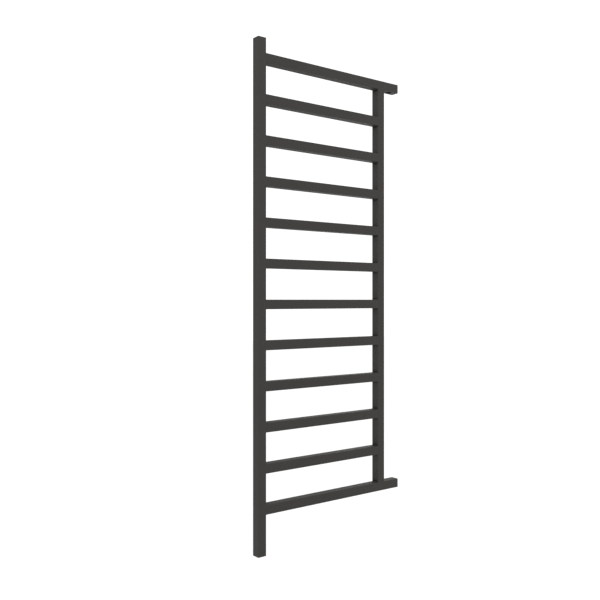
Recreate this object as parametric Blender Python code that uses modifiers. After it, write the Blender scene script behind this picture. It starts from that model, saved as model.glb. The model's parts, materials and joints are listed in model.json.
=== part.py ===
"""Water-filled ladder towel warmer rack made of square steel tube, with its wall brackets and air vent.

Metres, +Z up. The rungs run along X, the room is on the -Y side and the wall is the plane Y = 0.
The origin is the centre of the four bracket faces that lie on the wall.
"""

import math

import bmesh
import bpy
from mathutils import Matrix, Vector

# Driving dimensions of the rack
TUBE = 0.030
TUBE_WALL = 0.0015
TUBE_CORNER = 0.0022
RUNG_COUNT = 12
RUNG_PITCH = 0.127
OVERALL_WIDTH = 0.600
POST_SPAN = 0.534
POST_ABOVE_TOP_RUNG = 0.0465
POST_BELOW_BOTTOM_RUNG = 0.1265
FLOW_HOLE_R = 0.009

# Distance from the wall to the back of the rungs, and where the brackets and the vent sit
WALL_DISTANCE = 0.045
BRACKET_X = 0.258
VENT_BELOW_TOP = 0.022

# Fits and small sizes
GAP = 0.0003
PLUG_SIDE = TUBE - 2 * (TUBE_WALL + GAP)
PLUG_CORNER = 0.0004
CAP_THICKNESS = 0.003
SOCKET_DEPTH = 0.018
SOCKET_THREAD_R = 0.0093
SIDE_SOCKET_R = 0.012
SIDE_SOCKET_DEPTH = 0.012
SIDE_SOCKETS = {1: "spare_socket", RUNG_COUNT: "return_socket"}
BAFFLE_THICKNESS = 0.0015
BAFFLE_FROM_POST = 0.020
BAFFLE_WEEP_R = 0.0015

# Telescopic wall bracket
SLEEVE_SIDE = 0.018
SLEEVE_LENGTH = 0.0325
SLEEVE_BASE = 0.005
SLEEVE_EDGE = 0.0008
BORE_R = 0.0043
WALL_SCREW_R = 0.0031
STEM_R = 0.004
STEM_END_FROM_WALL = 0.010
STEM_CHAMFER = 0.001
STEM_FLANGE_R = 0.007
STEM_FLANGE = 0.0025
STEM_THREAD_R = 0.003
BOSS_R = 0.008
BOSS_HEIGHT = 0.005
BOSS_HOLE_R = 0.0033
BOSS_HOLE_DEPTH = 0.004
GRUB_FROM_MOUTH = 0.006
GRUB_R = 0.00225
GRUB_HOLE_R = 0.0025
GRUB_HOLE_START = 0.002
GRUB_LENGTH = 0.0034
GRUB_KEY = 0.0025
GRUB_KEY_DEPTH = 0.0017
PAD_R = 0.0021
PAD_THICKNESS = 0.0008

# Air vent, measured out from the back face of the post
VENT_BOSS_R = 0.008
VENT_BOSS_TOP = 0.0039
VENT_SPIGOT_R = 0.0056
VENT_SPIGOT_DEPTH = 0.0022
VENT_THREAD_R = 0.0047
VENT_TAPPED_R = 0.00495
VENT_INNER_END = 0.0043
VENT_FLANGE_R = 0.0062
VENT_FLANGE_LOW = 0.0058
VENT_FLANGE_HIGH = 0.0074
VENT_NECK_R = 0.0042
VENT_LIP_R = 0.0049
VENT_LIP_LOW = 0.0106
VENT_TOP = 0.0113
VENT_BORE_R = 0.0031
VENT_SEAT_R = 0.0012
VENT_SEAT_LOW = 0.0005
O_RING_R = 0.00565
O_RING_SECTION_R = 0.00065
NOZZLE_RING_BORE_R = 0.0045
NOZZLE_RING_R = 0.0060
NOZZLE_R = 0.0013
NOZZLE_REACH = 0.0086
NOZZLE_HOLE_R = 0.0006
SPINDLE_R = 0.00285
SPINDLE_LOW = 0.0036
SPINDLE_SHOULDER = 0.0074
SPINDLE_TOP = 0.0109
SPINDLE_SQUARE = 0.0040
SQUARE_INTO_SPINDLE = 0.001
TIP_R = 0.0026
TIP_END_R = 0.0009

# Smoothness of the mesh, and how far a cutter runs past the face that it opens
CORNER_STEPS = 3
BLOCK_EDGE_STEPS = 2
HOLE_SIDES = 16
KEY_SIDES = 6
TURN_STEPS = 24
O_RING_SECTION_STEPS = 10
FINE_EDGE = 0.0003
MERGE = 0.00001
SHARP_ANGLE = math.radians(35)
BORE_PAST = 0.002
KEY_PAST = 0.0005

# Places worked out from the driving dimensions
LEFT_FACE = -OVERALL_WIDTH / 2
RIGHT_END = OVERALL_WIDTH / 2
LEFT_POST_X = LEFT_FACE + TUBE / 2
RIGHT_POST_X = LEFT_FACE + POST_SPAN - TUBE / 2
TUBE_Y = -WALL_DISTANCE - TUBE / 2
RUNG_LEFT = LEFT_FACE + TUBE
TOP_RUNG_Z = RUNG_PITCH * (RUNG_COUNT - 1) / 2
BOTTOM_RUNG_Z = -TOP_RUNG_Z
LEFT_POST_TOP = TOP_RUNG_Z + TUBE / 2 + POST_ABOVE_TOP_RUNG
LEFT_POST_BOTTOM = BOTTOM_RUNG_Z - TUBE / 2 - POST_BELOW_BOTTOM_RUNG
STUB_MIDDLE_X = (LEFT_FACE + POST_SPAN + RIGHT_END) / 2
GRUB_Z = -(SLEEVE_LENGTH - GRUB_FROM_MOUTH)

FACE_LEFT_RIGHT = (0.0, math.pi / 2, 0.0)
FACE_WALL = (-math.pi / 2, 0.0, 0.0)


def clear_scene():
    for item in list(bpy.data.objects):
        bpy.data.objects.remove(item, do_unlink=True)


def new_collection(name):
    group = bpy.data.collections.new(name)
    bpy.context.scene.collection.children.link(group)
    return group


def paint(name, colour, roughness, metallic):
    """A plain Principled BSDF finish; colours are linear."""
    finish = bpy.data.materials.new(name)
    finish.use_nodes = True
    shader = finish.node_tree.nodes["Principled BSDF"]
    shader.inputs["Base Color"].default_value = (*colour, 1.0)
    shader.inputs["Roughness"].default_value = roughness
    shader.inputs["Metallic"].default_value = metallic
    return finish


def finishes():
    """Each sub-part gets its own copy of one of these by name."""
    return {
        "coat": ((0.056, 0.054, 0.052), 0.45, 0.0),
        "zinc": ((0.55, 0.56, 0.58), 0.35, 1.0),
        "nickel": ((0.62, 0.60, 0.56), 0.22, 1.0),
        "dark_plastic": ((0.025, 0.025, 0.027), 0.5, 0.0),
        "rubber": ((0.015, 0.015, 0.015), 0.8, 0.0),
        "nylon": ((0.75, 0.74, 0.70), 0.5, 0.0),
    }


def place(name, mesh, finish, parent, location=(0.0, 0.0, 0.0), rotation=(0.0, 0.0, 0.0)):
    """Make a named part of a mesh, in the rack's collection and with its own material."""
    item = bpy.data.objects.new(name, mesh)
    rack_group.objects.link(item)
    mesh.materials.append(paint(name + "_finish", *finishes()[finish]))
    item.parent = parent
    item.location = location
    item.rotation_euler = rotation
    return item


def empty(name, parent=None, location=(0.0, 0.0, 0.0), rotation=(0.0, 0.0, 0.0)):
    item = bpy.data.objects.new(name, None)
    rack_group.objects.link(item)
    item.empty_display_size = 0.02
    item.parent = parent
    item.location = location
    item.rotation_euler = rotation
    return item


def smooth(mesh):
    mesh.shade_smooth()
    mesh.set_sharp_from_angle(angle=SHARP_ANGLE)


def tube_mesh(name, length):
    """The outer skin of a square tube along local Z, open at both ends, with rounded long edges."""
    skin = bmesh.new()
    bmesh.ops.create_cube(skin, size=1.0, matrix=Matrix.Diagonal((TUBE, TUBE, length, 1.0)))
    skin.normal_update()
    ends = [face for face in skin.faces if abs(face.normal.z) > 0.5]
    bmesh.ops.delete(skin, geom=ends, context="FACES_ONLY")
    long_edges = [edge for edge in skin.edges if abs(edge.verts[0].co.z - edge.verts[1].co.z) > length / 2]
    bmesh.ops.bevel(
        skin, geom=long_edges, offset=TUBE_CORNER, segments=CORNER_STEPS, profile=0.5, affect="EDGES"
    )
    mesh = bpy.data.meshes.new(name)
    skin.to_mesh(mesh)
    skin.free()
    smooth(mesh)
    return mesh


def tube(name, length, parent, location, rotation=(0.0, 0.0, 0.0)):
    item = place(name, tube_mesh(name, length), "coat", parent, location, rotation)
    shell = item.modifiers.new("wall", "SOLIDIFY")
    shell.thickness = TUBE_WALL
    shell.offset = -1.0
    shell.use_even_offset = True
    return item


def block(name, size, corner, finish, parent, location, rotation=(0.0, 0.0, 0.0)):
    """A rectangular block centred on its origin, with every edge bevelled."""
    solid = bmesh.new()
    bmesh.ops.create_cube(solid, size=1.0, matrix=Matrix.Diagonal((*size, 1.0)))
    mesh = bpy.data.meshes.new(name)
    solid.to_mesh(mesh)
    solid.free()
    item = place(name, mesh, finish, parent, location, rotation)
    edge = item.modifiers.new("edges", "BEVEL")
    edge.width = corner
    edge.segments = BLOCK_EDGE_STEPS
    return item


def turned(name, profile, finish, parent, location=(0.0, 0.0, 0.0), rotation=(0.0, 0.0, 0.0), closed=False):
    """A piece turned about local Z; its profile is a list of (radius, height), top to bottom."""
    outline = bmesh.new()
    points = [outline.verts.new((radius, 0.0, height)) for radius, height in profile]
    for start, end in zip(points, points[1:]):
        outline.edges.new((start, end))
    if closed:
        outline.edges.new((points[-1], points[0]))
    mesh = bpy.data.meshes.new(name)
    outline.to_mesh(mesh)
    outline.free()
    item = place(name, mesh, finish, parent, location, rotation)
    turn = item.modifiers.new("turn", "SCREW")
    turn.axis = "Z"
    turn.angle = 2 * math.pi
    turn.steps = TURN_STEPS
    turn.render_steps = TURN_STEPS
    turn.use_merge_vertices = True
    turn.merge_threshold = MERGE
    turn.use_smooth_shade = True
    return item


def as_cutter(item):
    for group in list(item.users_collection):
        group.objects.unlink(item)
    cutter_group.objects.link(item)
    item.hide_render = True
    item.display_type = "WIRE"
    return item


def rods(name, places, radius, depth, direction, sides=HOLE_SIDES):
    """A cutter of round rods, each centred on its place and running along the direction."""
    aim = Vector((0.0, 0.0, 1.0)).rotation_difference(Vector(direction)).to_matrix().to_4x4()
    shape = bmesh.new()
    for spot in places:
        bmesh.ops.create_cone(
            shape,
            cap_ends=True,
            segments=sides,
            radius1=radius,
            radius2=radius,
            depth=depth,
            matrix=Matrix.Translation(spot) @ aim,
        )
    mesh = bpy.data.meshes.new(name)
    shape.to_mesh(mesh)
    shape.free()
    item = bpy.data.objects.new(name, mesh)
    rack_group.objects.link(item)
    return as_cutter(item)


def carve(item, cutter, operation="DIFFERENCE"):
    cut = item.modifiers.new(cutter.name, "BOOLEAN")
    cut.operation = operation
    cut.solver = "EXACT"
    cut.object = cutter


def rung_height(number):
    return TOP_RUNG_Z - RUNG_PITCH * (number - 1)


def make_posts(rack):
    heights = [rung_height(number) for number in range(1, RUNG_COUNT + 1)]
    left = tube(
        "left_post",
        LEFT_POST_TOP - LEFT_POST_BOTTOM,
        rack,
        (LEFT_POST_X, TUBE_Y, (LEFT_POST_TOP + LEFT_POST_BOTTOM) / 2),
    )
    left_wall_x = RUNG_LEFT - TUBE_WALL / 2
    places = [(left_wall_x, TUBE_Y, height) for height in heights]
    carve(left, rods("left_post_flow_holes", places, FLOW_HOLE_R, 4 * TUBE_WALL, (1, 0, 0)))
    vent_place = [(LEFT_POST_X, -WALL_DISTANCE - TUBE_WALL / 2, LEFT_POST_TOP - VENT_BELOW_TOP)]
    carve(left, rods("vent_hole", vent_place, VENT_SPIGOT_R + GAP, 4 * TUBE_WALL, (0, 1, 0), TURN_STEPS))

    right_length = TOP_RUNG_Z - BOTTOM_RUNG_Z - TUBE - 2 * GAP
    right = tube("right_post", right_length, rack, (RIGHT_POST_X, TUBE_Y, 0.0))
    right_wall_x = RIGHT_POST_X - TUBE / 2 + TUBE_WALL / 2
    places = [(right_wall_x, TUBE_Y, height) for height in heights[1:-1]]
    carve(right, rods("right_post_flow_holes", places, FLOW_HOLE_R, 4 * TUBE_WALL, (1, 0, 0)))


def make_rungs(rack):
    """The top and bottom rungs run on past the right post, and open into its ends."""
    for number in range(1, RUNG_COUNT + 1):
        long_rung = number in (1, RUNG_COUNT)
        right_end = RIGHT_END if long_rung else RIGHT_POST_X - TUBE / 2 - GAP
        left_end = RUNG_LEFT + GAP
        height = rung_height(number)
        middle = ((left_end + right_end) / 2, TUBE_Y, height)
        name = f"rung_{number:02d}"
        rung = tube(name, right_end - left_end, rack, middle, FACE_LEFT_RIGHT)
        if long_rung:
            towards_post = -1 if number == 1 else 1
            wall_z = height + towards_post * (TUBE - TUBE_WALL) / 2
            hole = [(RIGHT_POST_X, TUBE_Y, wall_z)]
            carve(rung, rods(name + "_flow_hole", hole, FLOW_HOLE_R, 4 * TUBE_WALL, (0, 0, 1)))
            cap_place = (RIGHT_END - CAP_THICKNESS / 2, TUBE_Y, height)
            make_end_cap(name + "_end_cap", rack, cap_place, FACE_LEFT_RIGHT)
            socket_hole = [(STUB_MIDDLE_X, TUBE_Y, height - (TUBE - TUBE_WALL) / 2)]
            cutter_name = name + "_socket_hole"
            radius = SIDE_SOCKET_R + GAP
            carve(rung, rods(cutter_name, socket_hole, radius, 4 * TUBE_WALL, (0, 0, 1), TURN_STEPS))


def make_end_cap(name, rack, location, rotation=(0.0, 0.0, 0.0)):
    block(name, (PLUG_SIDE, PLUG_SIDE, CAP_THICKNESS), PLUG_CORNER, "coat", rack, location, rotation)


def make_sockets(rack):
    """One threaded connection in the foot and one under each long rung's end, flush with their tubes."""
    middle = (LEFT_POST_X, TUBE_Y, LEFT_POST_BOTTOM + SOCKET_DEPTH / 2)
    size = (PLUG_SIDE, PLUG_SIDE, SOCKET_DEPTH)
    socket = block("left_post_socket", size, PLUG_CORNER, "coat", rack, middle)
    bore = rods("left_post_socket_bore", [middle], SOCKET_THREAD_R, 2 * SOCKET_DEPTH, (0, 0, 1), TURN_STEPS)
    carve(socket, bore)

    profile = [
        (SOCKET_THREAD_R, SIDE_SOCKET_DEPTH),
        (SIDE_SOCKET_R, SIDE_SOCKET_DEPTH),
        (SIDE_SOCKET_R, 0.0),
        (SOCKET_THREAD_R, 0.0),
    ]
    for number, name in SIDE_SOCKETS.items():
        underside = rung_height(number) - TUBE / 2
        turned(name, profile, "coat", rack, (STUB_MIDDLE_X, TUBE_Y, underside), closed=True)


def make_baffle(rack):
    """A plate across the bottom rung, so that the water takes the long way round."""
    middle = (RUNG_LEFT + BAFFLE_FROM_POST, TUBE_Y, BOTTOM_RUNG_Z)
    size = (PLUG_SIDE, PLUG_SIDE, BAFFLE_THICKNESS)
    baffle = block("flow_baffle", size, PLUG_CORNER, "coat", rack, middle, FACE_LEFT_RIGHT)
    weep = (middle[0], middle[1], BOTTOM_RUNG_Z - PLUG_SIDE / 2 + 2 * BAFFLE_WEEP_R)
    carve(baffle, rods("baffle_weep_hole", [weep], BAFFLE_WEEP_R, 4 * BAFFLE_THICKNESS, (1, 0, 0)))


def make_bracket(name, rack, side, height):
    """A pin on the back of a rung, and a wall sleeve that telescopes over it; local +Z points at the wall."""
    axis = empty(name + "_bracket", rack, (side * BRACKET_X, 0.0, height), FACE_WALL)
    rung_back = -WALL_DISTANCE
    boss_low = rung_back + GAP
    boss_top = rung_back + BOSS_HEIGHT
    flange_low = boss_top + GAP
    flange_top = flange_low + STEM_FLANGE
    stem_end = -STEM_END_FROM_WALL

    boss = [
        (0.0, boss_top - BOSS_HOLE_DEPTH),
        (BOSS_HOLE_R, boss_top - BOSS_HOLE_DEPTH),
        (BOSS_HOLE_R, boss_top),
        (BOSS_R - FINE_EDGE, boss_top),
        (BOSS_R, boss_top - FINE_EDGE),
        (BOSS_R, boss_low),
        (0.0, boss_low),
    ]
    turned(name + "_boss", boss, "coat", axis)

    stem = [
        (0.0, stem_end),
        (STEM_R - STEM_CHAMFER, stem_end),
        (STEM_R, stem_end - STEM_CHAMFER),
        (STEM_R, flange_top),
        (STEM_FLANGE_R - FINE_EDGE, flange_top),
        (STEM_FLANGE_R, flange_top - FINE_EDGE),
        (STEM_FLANGE_R, flange_low + FINE_EDGE),
        (STEM_FLANGE_R - FINE_EDGE, flange_low),
        (STEM_THREAD_R, flange_low),
        (STEM_THREAD_R, boss_top - BOSS_HOLE_DEPTH + GAP),
        (0.0, boss_top - BOSS_HOLE_DEPTH + GAP),
    ]
    turned(name + "_stem", stem, "zinc", axis)

    size = (SLEEVE_SIDE, SLEEVE_SIDE, SLEEVE_LENGTH)
    sleeve = block(name + "_sleeve", size, SLEEVE_EDGE, "coat", axis, (0.0, 0.0, -SLEEVE_LENGTH / 2))
    bore = [
        (0.0, BORE_PAST),
        (WALL_SCREW_R, BORE_PAST),
        (WALL_SCREW_R, -SLEEVE_BASE + BORE_R - WALL_SCREW_R),
        (BORE_R, -SLEEVE_BASE),
        (BORE_R, -SLEEVE_LENGTH - BORE_PAST),
        (0.0, -SLEEVE_LENGTH - BORE_PAST),
    ]
    carve(sleeve, as_cutter(turned(name + "_bore", bore, "coat", axis)))
    grub_hole_depth = SLEEVE_SIDE / 2
    hole_place = (0.0, GRUB_HOLE_START + grub_hole_depth / 2, GRUB_Z)
    hole = rods(name + "_grub_hole", [hole_place], GRUB_HOLE_R, grub_hole_depth, (0, 1, 0))
    hole.parent = axis
    carve(sleeve, hole)

    pad_low = STEM_R + GAP
    pad = [
        (0.0, pad_low + PAD_THICKNESS),
        (PAD_R, pad_low + PAD_THICKNESS),
        (PAD_R, pad_low),
        (0.0, pad_low),
    ]
    turned(name + "_grub_pad", pad, "nylon", axis, (0.0, 0.0, GRUB_Z), FACE_WALL)
    screw_low = pad_low + PAD_THICKNESS + GAP
    screw_top = screw_low + GRUB_LENGTH
    screw = [
        (0.0, screw_top),
        (GRUB_R - FINE_EDGE, screw_top),
        (GRUB_R, screw_top - FINE_EDGE),
        (GRUB_R, screw_low + FINE_EDGE),
        (GRUB_R - FINE_EDGE, screw_low),
        (0.0, screw_low),
    ]
    grub = turned(name + "_grub_screw", screw, "zinc", axis, (0.0, 0.0, GRUB_Z), FACE_WALL)
    key_r = GRUB_KEY / 2 / math.cos(math.pi / 6)
    key_length = GRUB_KEY_DEPTH + 2 * KEY_PAST
    key_z = screw_top + KEY_PAST - GRUB_KEY_DEPTH / 2
    key = rods(name + "_key_socket", [(0.0, 0.0, key_z)], key_r, key_length, (0, 0, 1), KEY_SIDES)
    key.parent = axis
    key.location = (0.0, 0.0, GRUB_Z)
    key.rotation_euler = FACE_WALL
    carve(grub, key)


def make_vent(rack):
    """The air vent near the top of the left post; local +Z points away from the post, at the wall."""
    place_z = LEFT_POST_TOP - VENT_BELOW_TOP
    axis = empty("vent", rack, (LEFT_POST_X, -WALL_DISTANCE, place_z), FACE_WALL)

    boss = [
        (VENT_TAPPED_R, VENT_BOSS_TOP),
        (VENT_BOSS_R - 2 * FINE_EDGE, VENT_BOSS_TOP),
        (VENT_BOSS_R, VENT_BOSS_TOP - 2 * FINE_EDGE),
        (VENT_BOSS_R, GAP),
        (VENT_SPIGOT_R, GAP),
        (VENT_SPIGOT_R, -VENT_SPIGOT_DEPTH),
        (VENT_TAPPED_R, -VENT_SPIGOT_DEPTH),
    ]
    turned("vent_boss", boss, "coat", axis, closed=True)

    seat_high = VENT_SEAT_LOW + VENT_BORE_R - VENT_SEAT_R
    body = [
        (VENT_BORE_R, VENT_TOP),
        (VENT_LIP_R - FINE_EDGE, VENT_TOP),
        (VENT_LIP_R, VENT_TOP - FINE_EDGE),
        (VENT_LIP_R, VENT_LIP_LOW),
        (VENT_NECK_R, VENT_LIP_LOW),
        (VENT_NECK_R, VENT_FLANGE_HIGH),
        (VENT_FLANGE_R - FINE_EDGE, VENT_FLANGE_HIGH),
        (VENT_FLANGE_R, VENT_FLANGE_HIGH - FINE_EDGE),
        (VENT_FLANGE_R, VENT_FLANGE_LOW),
        (VENT_THREAD_R, VENT_FLANGE_LOW),
        (VENT_THREAD_R, FINE_EDGE - VENT_INNER_END),
        (VENT_THREAD_R - FINE_EDGE, -VENT_INNER_END),
        (VENT_SEAT_R, -VENT_INNER_END),
        (VENT_SEAT_R, VENT_SEAT_LOW),
        (VENT_BORE_R, seat_high),
    ]
    vent_body = turned("vent_body", body, "nickel", axis, closed=True)
    nozzle_z = (VENT_FLANGE_HIGH + VENT_LIP_LOW) / 2
    bleed = rods("vent_bleed_hole", [(0.0, VENT_NECK_R, nozzle_z)], NOZZLE_HOLE_R, 2 * VENT_NECK_R, (0, 1, 0))
    bleed.parent = axis
    carve(vent_body, bleed)

    bpy.ops.mesh.primitive_torus_add(
        major_radius=O_RING_R,
        minor_radius=O_RING_SECTION_R,
        major_segments=TURN_STEPS,
        minor_segments=O_RING_SECTION_STEPS,
    )
    torus = bpy.context.object
    ring_mesh = torus.data
    bpy.data.objects.remove(torus, do_unlink=True)
    smooth(ring_mesh)
    place("vent_o_ring", ring_mesh, "rubber", axis, (0.0, 0.0, (VENT_BOSS_TOP + VENT_FLANGE_LOW) / 2))

    ring_low = VENT_FLANGE_HIGH + GAP
    ring_high = VENT_LIP_LOW - GAP
    ring = [
        (NOZZLE_RING_BORE_R, ring_high),
        (NOZZLE_RING_R - FINE_EDGE, ring_high),
        (NOZZLE_RING_R, ring_high - FINE_EDGE),
        (NOZZLE_RING_R, ring_low + FINE_EDGE),
        (NOZZLE_RING_R - FINE_EDGE, ring_low),
        (NOZZLE_RING_BORE_R, ring_low),
    ]
    nozzle_ring = turned("vent_nozzle_ring", ring, "dark_plastic", axis, closed=True)
    spout_start = (NOZZLE_RING_BORE_R + NOZZLE_RING_R) / 2
    spout_middle = (0.0, (spout_start + NOZZLE_REACH) / 2, nozzle_z)
    spout = rods("vent_spout", [spout_middle], NOZZLE_R, NOZZLE_REACH - spout_start, (0, 1, 0))
    spout.parent = axis
    carve(nozzle_ring, spout, "UNION")
    spout_end = (0.0, NOZZLE_REACH, nozzle_z)
    spout_bore = rods("vent_spout_bore", [spout_end], NOZZLE_HOLE_R, NOZZLE_REACH, (0, 1, 0))
    spout_bore.parent = axis
    carve(nozzle_ring, spout_bore)

    spindle_profile = [
        (0.0, SPINDLE_SHOULDER),
        (SPINDLE_R - FINE_EDGE, SPINDLE_SHOULDER),
        (SPINDLE_R, SPINDLE_SHOULDER - FINE_EDGE),
        (SPINDLE_R, SPINDLE_LOW),
        (0.0, SPINDLE_LOW),
    ]
    spindle = turned("vent_spindle", spindle_profile, "nickel", axis)
    head_length = SPINDLE_TOP - SPINDLE_SHOULDER + SQUARE_INTO_SPINDLE
    head = block(
        "vent_spindle_square",
        (SPINDLE_SQUARE, SPINDLE_SQUARE, head_length),
        FINE_EDGE,
        "nickel",
        axis,
        (0.0, 0.0, SPINDLE_TOP - head_length / 2),
    )
    carve(spindle, as_cutter(head), "UNION")

    tip_top = SPINDLE_LOW - GAP
    seat_offset = VENT_SEAT_LOW - VENT_SEAT_R + GAP * math.sqrt(2)
    tip = [
        (0.0, tip_top),
        (TIP_R, tip_top),
        (TIP_R, TIP_R + seat_offset),
        (TIP_END_R, TIP_END_R + seat_offset),
        (0.0, TIP_END_R + seat_offset),
    ]
    turned("vent_seal_tip", tip, "rubber", axis)


def main():
    rack = empty("towel_rack")
    make_posts(rack)
    make_rungs(rack)
    make_end_cap("left_post_top_cap", rack, (LEFT_POST_X, TUBE_Y, LEFT_POST_TOP - CAP_THICKNESS / 2))
    make_sockets(rack)
    make_baffle(rack)
    for level, height in (("upper", TOP_RUNG_Z), ("lower", BOTTOM_RUNG_Z)):
        for side_name, side in (("left", -1), ("right", 1)):
            make_bracket(f"{level}_{side_name}", rack, side, height)
    make_vent(rack)


clear_scene()
rack_group = new_collection("towel_warmer_rack")
cutter_group = new_collection("cutters")
main()
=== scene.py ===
"""The finished look of the ladder towel warmer rack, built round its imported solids.

Metres, +Z up, rungs along X, the room on the -Y side and the wall at Y = 0.
"""

import json
import math

import bmesh
import bpy
from mathutils import Matrix, Vector


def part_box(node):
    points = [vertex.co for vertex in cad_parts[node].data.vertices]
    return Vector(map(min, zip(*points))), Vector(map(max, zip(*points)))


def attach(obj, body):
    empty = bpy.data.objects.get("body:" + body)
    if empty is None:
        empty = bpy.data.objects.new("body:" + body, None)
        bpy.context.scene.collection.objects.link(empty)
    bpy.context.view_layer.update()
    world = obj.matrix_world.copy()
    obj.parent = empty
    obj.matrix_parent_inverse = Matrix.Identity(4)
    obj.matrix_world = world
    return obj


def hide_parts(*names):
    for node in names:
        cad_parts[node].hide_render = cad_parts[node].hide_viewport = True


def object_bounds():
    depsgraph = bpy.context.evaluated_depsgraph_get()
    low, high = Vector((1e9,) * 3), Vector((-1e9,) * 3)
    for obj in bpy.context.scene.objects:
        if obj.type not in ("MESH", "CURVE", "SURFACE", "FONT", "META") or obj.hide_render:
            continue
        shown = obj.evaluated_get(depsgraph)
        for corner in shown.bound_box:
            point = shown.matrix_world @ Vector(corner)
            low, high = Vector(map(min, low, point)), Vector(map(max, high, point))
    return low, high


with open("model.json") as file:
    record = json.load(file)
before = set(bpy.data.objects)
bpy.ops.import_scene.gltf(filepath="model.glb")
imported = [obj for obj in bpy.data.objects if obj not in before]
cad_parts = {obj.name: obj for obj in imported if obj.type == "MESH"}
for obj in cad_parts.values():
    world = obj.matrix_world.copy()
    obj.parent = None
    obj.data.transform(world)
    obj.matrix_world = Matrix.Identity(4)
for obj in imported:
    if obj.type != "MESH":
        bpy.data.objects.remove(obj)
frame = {"nodes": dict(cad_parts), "record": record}
cad_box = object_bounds()

# Rounding and seams of the coated tubes
TUBE_CORNER = 0.0016
TUBE_CORNER_STEPS = 8
END_EDGE = 0.0006
END_EDGE_STEPS = 3
NEARLY_ALL = 0.999999     # share of half the length beyond which a vertex counts as at the end
SINK = 0.0006             # how far a welded end runs into the tube that it meets
SHARP_ANGLE = 35.0        # degrees; sharper edges than this are shaded as edges
CAD_SHARP_ANGLE = 30.0

# Weld between two tubes: flush on the front and back, a small fillet on the other two sides
WELD_LEG = 0.0017
WELD_FADE = 0.0035        # length over which the fillet thins out towards the front and back
WELD_RIPPLE = 0.00004
WELD_BURIED = 0.0001      # how far the rim of a bead lies under the tube's skin
WELD_SIDE_STEPS = 24
WELD_CORNER_STEPS = 6
WELD_PROFILE_STEPS = 8
WELD_SAG = 0.21           # hollow of the fillet, as a share of its leg
WELD_LEAST = 0.03         # share of the leg that is left where the fillet has thinned out
WELD_FLUSH_PAST = 0.0012  # how far the flush fill runs past the tube's end
WELD_ROOT_IN = 0.0008     # where the hidden side of the bead lies, under the skin
WELD_ROOT_OUT = 0.0006    # and along the ending tube, out of the face and into it
WELD_ROOT_BACK = 0.0016

# G1/2 thread in the three sockets
THREAD_ROOT_R = 0.01048
THREAD_CREST_R = 0.00932
THREAD_PITCH = 0.001814
THREAD_TURNS = 7
THREAD_BURIED = 0.0002    # how far the foot of a ridge lies under the wall that carries it
SOCKET_CHAMFER = 0.0008
SOCKET_BORE_DEPTH = 0.016

# Turned and threaded hardware behind the rack
ROUND_SIDES = 72
HOLE_SIDES = 64
HELIX_SIDES = 48
GAP = 0.0003
FINE_EDGE = 0.0003
RING_WELD_LEG = 0.0014
RING_WELD_RIPPLE = 0.000025
RING_WELD_SIDES = 144
RING_WELD_SAG = 0.22
RING_WELD_WAVES = 34.0
BOSS_HOLE_DEPTH = 0.004
STEM_R = 0.004
STEM_THREAD_R = 0.003
STEM_FLANGE = 0.0025
STEM_CHAMFER = 0.001
STEM_GROOVE = 0.0003
STEM_CENTRE_MARK_R = 0.0018
SLEEVE_EDGE = 0.0008
SLEEVE_EDGE_STEPS = 4
SLEEVE_BORE_R = 0.0043
SLEEVE_BORE_DEPTH = 0.0275
SLEEVE_BORE_CHAMFER = 0.0004
SMALL_HOLE_CHAMFER = 0.0003
WALL_SCREW_R = 0.0031
WALL_SCREW_DEPTH = 0.006
GRUB_HOLE_R = 0.0025
GRUB_HOLE_DEPTH = 0.0058
GRUB_CREST_R = 0.0024
GRUB_ROOT_R = 0.0021
GRUB_PITCH = 0.0008
GRUB_SIDES = 48
GRUB_HELIX_SIDES = 32
GRUB_KEY_R = 0.00144
GRUB_KEY_DEPTH = 0.0017
GRUB_KEY_CHAMFER = 0.00012
GRUB_KEY_SIDES = 6

# Air vent; heights are measured out from the back face of the left post
VENT_BOSS_R = 0.0080
VENT_TAPPED_R = 0.0050
VENT_BOSS_TOP = 0.0039
VENT_THREAD_R = 0.0047
VENT_INNER_END = 0.0043
VENT_FLANGE_R = 0.0062
VENT_FLANGE_LOW = 0.0058
VENT_FLANGE_HIGH = 0.0074
VENT_NECK_R = 0.0042
VENT_LIP_R = 0.0049
VENT_LIP_LOW = 0.0106
VENT_TOP = 0.0113
VENT_BORE_R = 0.0031
VENT_SEAT_R = 0.0012
VENT_SEAT_LOW = 0.0005
VENT_SEAT_HIGH = 0.0024
O_RING_R = 0.00565
O_RING_SECTION_R = 0.00095
O_RING_STEPS = 16
NOZZLE_RING_BORE_R = 0.0045
NOZZLE_RING_R = 0.0060
NOZZLE_RIBS = 30
NOZZLE_RIB_DEPTH = 0.0002
NOZZLE_RIB_SIDES = 240
RIB_BAND = 0.0004         # ribs are cut where the radius is within this of the widest
NOZZLE_R = 0.0013
NOZZLE_ROOT = 0.0052
NOZZLE_REACH = 0.0086
NOZZLE_HOLE_R = 0.0006
SPOUT_SIDES = 48
SPINDLE_R = 0.00285
SPINDLE_LOW = 0.0036
SPINDLE_SHOULDER = 0.0074
SPINDLE_SQUARE = 0.0040
SPINDLE_SQUARE_EDGE = 0.00025
SPINDLE_SQUARE_STEPS = 3

# Camera, placed from the front left edge of the left post
VIEW_TURN = math.radians(37.72)
VIEW_DEPTH = 2.3038
VIEW_SIDE = 0.1277
EYE_BELOW_TOP_RUNG = 0.7633
LENS_MM = 45.135
SENSOR_MM = 36.0
CLIP_START = 0.05

# Colours of the powder coat
COAT_DARK = (0.0375, 0.0357, 0.0336)
COAT_LIGHT = (0.0405, 0.0386, 0.0363)
COAT_CLOUD = (0.0350, 0.0338, 0.0317)
COAT_FLECK = (0.0570, 0.0552, 0.0516)
COAT_PIT = (0.0235, 0.0227, 0.0212)
COAT_EDGE = (0.052, 0.050, 0.046)
# painted highlight on the rounded long edges of the tubes
COAT_PAINTED_HIGHLIGHT = (0.058, 0.056, 0.052)
# painted shade in the inside corners
COAT_PAINTED_SHADE = (0.008, 0.008, 0.007)

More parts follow.
